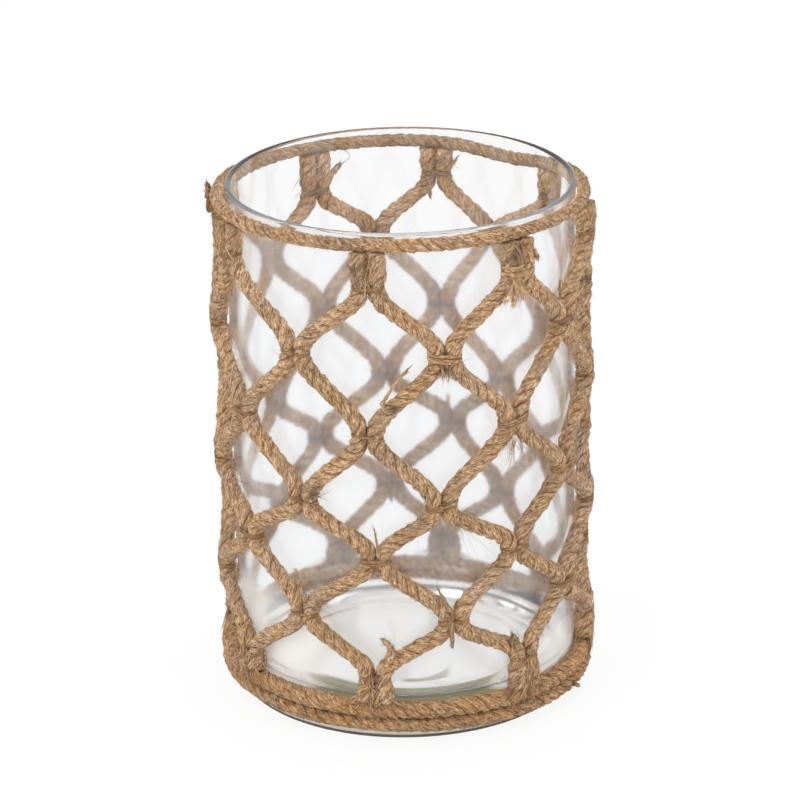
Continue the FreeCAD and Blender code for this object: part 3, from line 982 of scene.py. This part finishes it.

# %% [markdown]
# Where a tie was knotted, its ends stay: short tails of yarn that fray at the tip, and fans of
# fibre where a rope's own yarns came loose. A tail is a thin tapered thread on a curve, with fibres
# that leave its outer half. Those that the photograph shows are listed one by one, and some knots at
# the rear of both sides get theirs from the seeded random numbers.

# %% Tails of yarn
TAIL_POINTS = 9
TAIL_RINGS = np.array([0.0, 0.7, 0.9])
TAILS = [
    # three places (angle, height), thickness at the root and at the tip, number of fibres, spread,
    # tone or tint, and distance from the axis, with lengths in millimetres
    ((-8.2, 30.6), (-5.2, 36.1), (-4.4, 41.2), 3.4, 2.8, 80, 0.20, 0.88, 72.4),
    ((-4.9, 38.0), (-5.0, 42.2), (-7.2, 44.9), 2.2, 1.7, 40, 0.30, 0.88, 72.4),
    ((13.2, 51.2), (11.9, 57.6), (9.0, 64.8), 2.4, 0.8, 12, 0.08, 0.64, 72.0),
    ((13.2, 50.2), (13.2, 44.8), (13.1, 40.4), 1.8, 1.6, 10, 0.06, 0.70, 72.6),
    ((36.0, 30.2), (34.3, 35.2), (32.9, 40.2), 3.0, 3.6, 80, 0.16, 0.70, 72.0),
    ((-6.4, 136.8), (-2.6, 145.2), (1.6, 151.6), 1.9, 0.8, 12, 0.20, 1.0, 71.4),
    ((1.4, 151.4), (1.0, 149.8), (-0.6, 148.6), 0.7, 0.4, 3, 0.10, 1.0, 72.6),
    ((-31.2, 55.6), (-32.3, 60.5), (-34.0, 67.6), 2.0, 0.9, 14, 0.08, 0.82, 72.0),
    ((-7.8, 76.8), (-8.3, 82.8), (-8.9, 88.6), 1.3, 0.6, 8, 0.10, 0.75, 72.0),
    ((54.2, 167.4), (52.9, 171.2), (52.6, 174.0), 2.3, 1.8, 24, 0.16, 0.82, 71.8),
    ((205.4, 176.6), (203.3, 181.2), (199.6, 185.2), 2.6, 2.6, 24, 0.10, 0.72, 69.0),
    ((200.2, 184.8), (195.6, 187.8), (199.4, 191.6), 0.25, 0.2, 0, 0.0, 0.62, 69.0),
    ((165.4, 180.6), (162.6, 183.6), (160.9, 187.2), 1.9, 1.2, 20, 0.14, 0.75, 69.0),
    ((170.4, 173.6), (170.2, 171.4), (170.2, 169.6), 1.8, 1.4, 24, 0.2, 0.85, 69.0),
    ((164.6, 79.6), (164.6, 84.0), (164.5, 87.6), 1.9, 1.5, 8, 0.10, 0.85, 69.0),
    ((185.3, 49.4), (185.2, 45.0), (184.6, 40.4), 1.7, 1.3, 8, 0.10, 0.40, 69.0),
    ((-94.0, 186.0), (-94.6, 191.4), (-94.2, 197.0), 3.5, 3.3, 60, 0.05, (0.56, 0.47, 0.42), 71.3),
    ((62.3, 6.6), (64.0, 5.0), (65.0, 4.2), 1.9, 1.8, 30, 0.12, 0.56, 71.6),
    ((33.6, 180.5), (32.2, 177.0), (29.8, 173.0), 1.5, 2.0, 40, 0.14, (1.28, 1.36, 1.44), 73.4),
    ((34.0, 180.5), (33.4, 176.0), (32.6, 171.6), 1.5, 2.1, 40, 0.14, (1.32, 1.42, 1.50), 73.6),
    ((34.6, 180.5), (35.4, 176.5), (36.4, 172.8), 1.5, 2.0, 40, 0.14, (1.28, 1.36, 1.44), 73.4),
    ((38.6, 190.2), (39.2, 188.0), (39.6, 185.4), 1.5, 1.6, 24, 0.10, 1.15, 73.2),
    ((41.2, 190.0), (41.6, 188.0), (41.6, 186.0), 1.4, 1.5, 24, 0.10, 1.18, 72.8),
]


def tail(places, thickness, count, spread, tone, from_axis=72.0):
    """A yarn end on a curve drawn by three places, with fibres that leave its outer half."""
    tint = tone * np.ones(3)
    angles, heights = np.array(places).T
    line, run = smooth_line(on_ring(angles, heights * MM, (from_axis + TAIL_RINGS) * MM), 0.35 * MM)
    share = run / run[-1]
    radius = (thickness[0] + (thickness[1] - thickness[0]) * share) / 2 * MM
    radius = radius * (1 + wander(run, 1.2 * MM, 0.13)) * np.minimum(1, 0.55 + 3 * (1 - share))
    outward = unit(line * np.array([1.0, 1.0, 0.0]))
    skin, faces, section = thread_skin(line, radius, 0.85, TAIL_POINTS, outward)
    lay = thread_lay(section, run / MM, 0.8)
    shade = np.repeat(1 + wander(run, 1.5 * MM, 0.10), TAIL_POINTS)[:, None] * tint
    yarn = (skin, faces, {"lay": lay, "groove": np.full(len(lay), 0.08), "tone": shade})
    if not count:
        return yarn
    at = random.integers(int(len(line) * 0.55), len(line) - 1, count)
    along = unit(np.gradient(line, axis=0))[at]
    start = line[at] + random.normal(0, 0.35, (count, 3)) * radius[at][:, None]
    way = unit(along + random.normal(0, spread + 0.06, (count, 3)))
    length = random.uniform(0.5, 1.0, count) * (0.14 + 0.3 * (1 - share[at])) * run[-1] + 0.6 * MM
    bend = random.normal(0, 0.14 + spread, (count, 3))
    sizes = random.uniform(0.09, 0.19, count) * MM
    return join(yarn, long_fibres(start, way, length, bend, sizes, 0.8, 1.25, tint))


parts = [tail(row[:3], row[3:5], *row[5:]) for row in TAILS]
for row in range(ROWS):
    for column in range(COLUMNS):
        angle, height = knot_place(row, column)
        hidden = 98 < abs((angle + 180) % 360 - 180) < 128
        if hidden and random.random() < 0.7:
            side, rise = random.normal(0, 3), random.choice([-1, 1]) * random.uniform(4.5, 9)
            top = height / MM + 1.5 * np.sign(rise)
            places = [(angle, top), (angle + side / 2, top + rise / 2), (angle + side * 1.4, top + rise)]
            width = random.uniform(0.9, 1.6)
            spread, tone = random.uniform(0.08, 0.2), random.uniform(0.7, 0.95)
            parts.append(tail(places, (width, width * 0.7), 14, spread, tone))
print("tails", len(parts))

# %% [markdown]
# The fans are loose: fine fibres that start close together and spread on their way. They are the
# same spikes as the rope's fuzz, only longer and all heading one way.

# %% Loose fans
KNOT_SURFACE = 72.0 * MM
TUFTS = [
    # root angle, root height, tip angle, tip height, lift, fibres, root width, spread, thickness, tone
    (34.0, 180.4, 33.2, 172.6, 3.4, 200, 3.0, 0.22, 0.12, 1.40),
    (11.7, 152.4, 11.9, 145.0, 1.2, 110, 1.9, 0.16, 0.16, 0.85),
    (-4.2, 134.9, -1.4, 137.0, 1.0, 60, 1.0, 0.22, 0.15, 0.75),
    (-28.6, 98.0, -24.4, 103.4, 1.4, 60, 1.0, 0.22, 0.12, 0.75),
    (-27.4, 54.8, -21.0, 50.2, 2.4, 34, 1.6, 0.45, 0.06, 0.95),
    (33.4, 118.9, 30.6, 108.6, 2.2, 50, 2.2, 0.34, 0.07, 1.10),
    (36.3, 116.3, 38.5, 107.2, 2.4, 22, 1.6, 0.35, 0.06, 0.80),
    (14.9, 90.0, 25.8, 80.4, 1.0, 14, 1.2, 0.25, 0.05, 0.80),
    (5.6, 91.5, -2.0, 85.4, 1.0, 14, 1.2, 0.30, 0.05, 0.80),
    (33.6, 191.0, 34.5, 186.4, 1.4, 90, 4.2, 0.16, 0.15, 0.66),
    (-12.0, 190.0, -11.0, 186.4, 0.8, 90, 4.4, 0.20, 0.14, 0.66),
]


def tuft(root, tip, lift, count, width, spread, thickness, tone):
    """A bundle of fibres from a root to a tip, both given as angle and height in millimetres."""
    start = on_ring(root[0], root[1] * MM, KNOT_SURFACE)
    way = on_ring(tip[0], tip[1] * MM, KNOT_SURFACE + lift * MM) - start
    reach = np.linalg.norm(way)
    flatness = 1 - 0.5 * np.abs(on_ring(root[0], 0.0, 1.0))
    starts = start + random.normal(0, width / 2 * MM, (count, 3)) * flatness
    ways = unit(way / reach + random.normal(0, spread, (count, 3)))
    bow = random.normal(0, 0.10, 3) + on_ring(root[0], 0.0, 0.08)
    bends = bow + random.normal(0, 0.10 + spread, (count, 3))
    lengths = reach * random.uniform(0.55, 1.08, count)
    sizes = thickness * MM * random.uniform(0.7, 1.2, count)
    return long_fibres(starts, ways, lengths, bends, sizes, tone * 0.8, tone * 1.2, (1.0, 1.02, 1.05))


parts += [tuft((a, b), (c, d), *rest) for a, b, c, d, *rest in TUFTS]
points, faces, values = join(*parts)
make_piece("tufts_and_tails", points, faces, jute_rope, values)

# %% [markdown]
# The net's lower ends were opened out and pressed onto the foot rope with glue, so the yarns of
# each pair fan over it like a small broom. Above that, and again under the rim rope, loose fibres
# are matted over the groove between the two ropes, and the pair looks like one felted bundle.

# %% Fanned and felted ends
FAN_FIBRES = 240
FAN_TINT = (1.04, 0.96, 0.87)
TOP_FELT_FIBRES = 80
# Painted shade: the felt at the back of the top is darker than at the front.
TOP_FELT_TONES_SHADED_AT_BACK = {"front": 1.30, "back": 1.00}
FOOT_FELT_FIBRES = 110
FOOT_FELT_TONE = 1.25
FELT_TINT = (0.98, 0.95, 0.91)
TOP_FELT_DROP = 4.5 * MM


def fan(angle, count):
    """Fibres that run down from a pair's end over the upper foot rope, bending round it."""
    foot = UPPER_FOOT_HEIGHT + slope_at(angle, FOOT_ROPE_DROP, FOOT_ROPE_HIGH_SIDE)
    offset = random.normal(0, 2.9, count)
    turn = angle + np.degrees(offset * MM / KNOT_DEPTH)
    height = foot + random.uniform(2.2, 6.5, count) * MM
    start = on_ring(turn, height, KNOT_DEPTH + random.uniform(1.9, 2.7, count) * MM)
    sideways, outward, up = directions(angle)
    slide = (offset * 0.16 + random.normal(0, 0.30, count))[:, None]
    way = unit(slide * sideways + 0.10 * outward - up)
    bend = slide * 0.5 * sideways - random.uniform(0.0, 0.25, count)[:, None] * outward
    length = random.uniform(3.5, 8.5, count) * MM
    sizes = random.uniform(0.10, 0.20, count) * MM
    return long_fibres(start, way, length, bend, sizes, 0.80, 1.20, FAN_TINT)


def felt(angle, low, high, count, tone):
    """Fibres matted over a pair of loosened rope ends: they cross the groove between the two."""
    sideways, outward, up = directions(angle)
    across = random.triangular(-0.86, 0, 0.86, count)[:, None]
    bulge = np.sqrt(1 - 0.62 * across**2) * (0.88 + 0.12 * np.abs(across))
    reach = KNOT_DEPTH + 1.28 * NET_ROPE_RADIUS * bulge
    start = reach * outward + across * 5.6 * MM * sideways + random.uniform(low, high, count)[:, None] * up
    turn = random.normal(0, 0.42, count)[:, None]
    turn = turn + np.where(random.random(count) < 0.5, 0, math.pi)[:, None]
    lift = random.uniform(-0.04, 0.08, count)[:, None]
    way = unit(np.cos(turn) * up + np.sin(turn) * sideways + lift * outward)
    bend = -0.22 * outward + random.normal(0, 0.16, (count, 3))
    length = random.uniform(3.0, 7.5, count) * MM
    thickness = random.uniform(0.09, 0.20, count) * MM
    return long_fibres(start, way, length, bend, thickness, 0.75 * tone, 1.20 * tone, FELT_TINT)


fans = [fan(knot_place(ROWS - 1, column)[0], FAN_FIBRES) for column in range(COLUMNS)]
for column in range(COLUMNS):
    angle, height = knot_place(0, column)
    top = NET_TOP + slope_at(angle, RIM_ROPE_DROP, RIM_ROPE_HIGH_SIDE) - TOP_FELT_DROP
    tone = TOP_FELT_TONES_SHADED_AT_BACK["back" if np.cos(np.radians(angle)) < 0 else "front"]
    fans.append(felt(angle, height + 1 * MM, top, TOP_FELT_FIBRES, tone))
    angle, height = knot_place(ROWS - 1, column)
    fans.append(felt(angle, NET_BOTTOM - 1 * MM, height, FOOT_FELT_FIBRES, FOOT_FELT_TONE))
points, faces, values = join(*fans)
make_piece("fanned_rope_ends", points, faces, jute_rope, values)

# %% [markdown]
# The glass was blown into a mould and its rim melted round. It is a profile turned round the axis.
# Clear glass shows every fault in its normals, so the profile has extra rings where a straight
# wall meets a bend.

# %% Glass
WALL = 3.0 * MM
FLOOR = 8.0 * MM
INNER_CORNER = 16.0 * MM
HEEL = 1.5 * MM
RIM_CORNER = 1.1 * MM
RIM_THICKNESS = 2.2 * MM
NARROW_FROM = 140.0 * MM
PUNT_RADIUS = 47.0 * MM
PUNT_DEPTH = 0.3 * MM
PUNT_EDGE = 1.5 * MM
TURN_POINTS = 224


def arc(centre_r, centre_z, radius, start, end, count):
    """Points of a circular bend of the profile, angles in degrees from outward towards up."""
    angle = np.radians(np.linspace(start, end, count))
    return np.stack([centre_r + radius * np.cos(angle), centre_z + radius * np.sin(angle)], axis=-1)


def wall_heights(low, high):
    """Heights along a straight wall, close together at both ends."""
    near_end = np.array([0.0005, 0.002, 0.006, 0.015, 0.04])
    share = np.concatenate([near_end, np.linspace(0.08, 0.92, 18), 1 - near_end[::-1]])
    return low + (high - low) * share


def glass_profile():
    """Radius and height from the middle of the underside, out, up, over the rim and down inside."""
    inner = GLASS_RADIUS - WALL
    corner = GLASS_HEIGHT - RIM_CORNER
    outside = wall_heights(HEEL, corner)
    inside = wall_heights(FLOOR + INNER_CORNER, corner)[::-1]
    flat = inner - INNER_CORNER
    narrowing = np.clip((inside - NARROW_FROM) / (corner - NARROW_FROM), 0, 1) ** 2
    floor_share = np.array([0.999, 0.99, 0.96, 0.85, 0.6, 0.3, 0.1])
    return np.concatenate([
        np.stack([PUNT_RADIUS * np.array([0.1, 0.4, 0.8, 0.97, 1.0]), np.full(5, PUNT_DEPTH)], axis=-1),
        [[PUNT_RADIUS + PUNT_EDGE, 0.0], [PUNT_RADIUS + PUNT_EDGE + 0.3 * MM, 0.0]],
        [[GLASS_RADIUS - HEEL - 0.3 * MM, 0.0]],
        arc(GLASS_RADIUS - HEEL, HEEL, HEEL, -90, 0, 9),
        np.stack([np.full(len(outside), GLASS_RADIUS), outside], axis=-1),
        arc(GLASS_RADIUS - RIM_CORNER, corner, RIM_CORNER, 0, 90, 9),
        arc(GLASS_RADIUS - RIM_THICKNESS + RIM_CORNER, corner, RIM_CORNER, 90, 180, 9),
        np.stack([inner + (WALL - RIM_THICKNESS) * narrowing, inside], axis=-1),
        arc(inner - INNER_CORNER, FLOOR + INNER_CORNER, INNER_CORNER, 0, -90, 40),
        np.stack([flat * floor_share, np.full(len(floor_share), FLOOR)], axis=-1),
    ])


profile = glass_profile()
turn = np.linspace(0, 360, TURN_POINTS, endpoint=False)
r, z = profile[:, :1], profile[:, 1:]
skin = on_ring(turn[None, :], z, r).reshape(-1, 3)
points = np.concatenate([skin, [[0, 0, PUNT_DEPTH], [0, 0, FLOOR]]])
faces = grid_faces(len(profile), TURN_POINTS).tolist() + pole_faces(len(profile), TURN_POINTS)
print("glass profile", len(profile), "points")

# %% [markdown]
# The outer skin of the glass is not clean all over. Glue was pressed out below the lower foot rope
# and behind both ropes at the sides, some of it was smeared up the sides of the wall, and handling
# left a faint haze. Along the heel runs a thin dark line of painted shadow, where the glass stands
# on the table. Each is a share between 0 and 1 that depends on the height and on the place round
# the glass, and the strongest one counts.

# %% Veil on the glass
GLUE_VEIL = 0.85
SIDE_VEIL = 0.55
HAZE_VEIL = 0.10
HEEL_SHADOW_SHARE = 0.85
SIDE_FILM_TOPS = {"left": 54 * MM, "right": 34 * MM}


def ease(value, start, end):
    """A smooth step from 0 at the start to 1 at the end: 3s^2 - 2s^3."""
    share = np.clip((value - start) / (end - start), 0, 1)
    return share * share * (3 - 2 * share)


on_outside = np.abs(np.hypot(points[:, 0], points[:, 1]) - GLASS_RADIUS) < 0.7 * MM
height, towards_front, off_middle = points[:, 2], -points[:, 1] / GLASS_RADIUS, np.abs(points[:, 0])
low_strip = ease(height, 5.0 * MM, 3.6 * MM)
behind_ropes = ease(off_middle, 28 * MM, 40 * MM) * ease(height, 15 * MM, 9.5 * MM)
glue = GLUE_VEIL * ease(height, 1.6 * MM, 2.0 * MM) * ease(towards_front, -0.5, -0.1)
glue = glue * np.maximum(low_strip, behind_ropes)
film_top = np.where(points[:, 0] < 0, SIDE_FILM_TOPS["left"], SIDE_FILM_TOPS["right"])
side_film = SIDE_VEIL * ease(off_middle, 24 * MM, 44 * MM) * ease(towards_front, 0.1, 0.4)
side_film = side_film * ease(height, 14 * MM, 17 * MM) * ease(height, film_top, film_top - 10 * MM)
haze = HAZE_VEIL * ease(towards_front, -0.2, 0.5) * ease(height, 14 * MM, 18 * MM)
haze = haze * ease(height, 199.5 * MM, 198 * MM)
# The heel's dark line is painted shadow: a share that rises below 1.9 mm on the outer skin.
edge = np.where(on_outside, ease(height, 1.9 * MM, 1.6 * MM), 0.0)
veil = np.where(on_outside, np.max([glue, haze, side_film, HEEL_SHADOW_SHARE * edge], axis=0), 0.0)
film = np.where(on_outside, np.maximum(glue, side_film) / np.maximum(veil, 0.01), 0.0)
finish = {"veil": veil, "film": film, "edge": edge}
make_piece("glass_cylinder_clear", points, faces, glass_material, finish, ["glass_cylinder"])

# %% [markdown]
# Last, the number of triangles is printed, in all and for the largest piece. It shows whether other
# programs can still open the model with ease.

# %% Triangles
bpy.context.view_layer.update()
triangles = {piece.name: sum(len(p.vertices) - 2 for p in piece.data.polygons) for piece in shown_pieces()}
largest = max(triangles, key=triangles.get)
print("triangles in all", sum(triangles.values()), "largest", largest, triangles[largest])
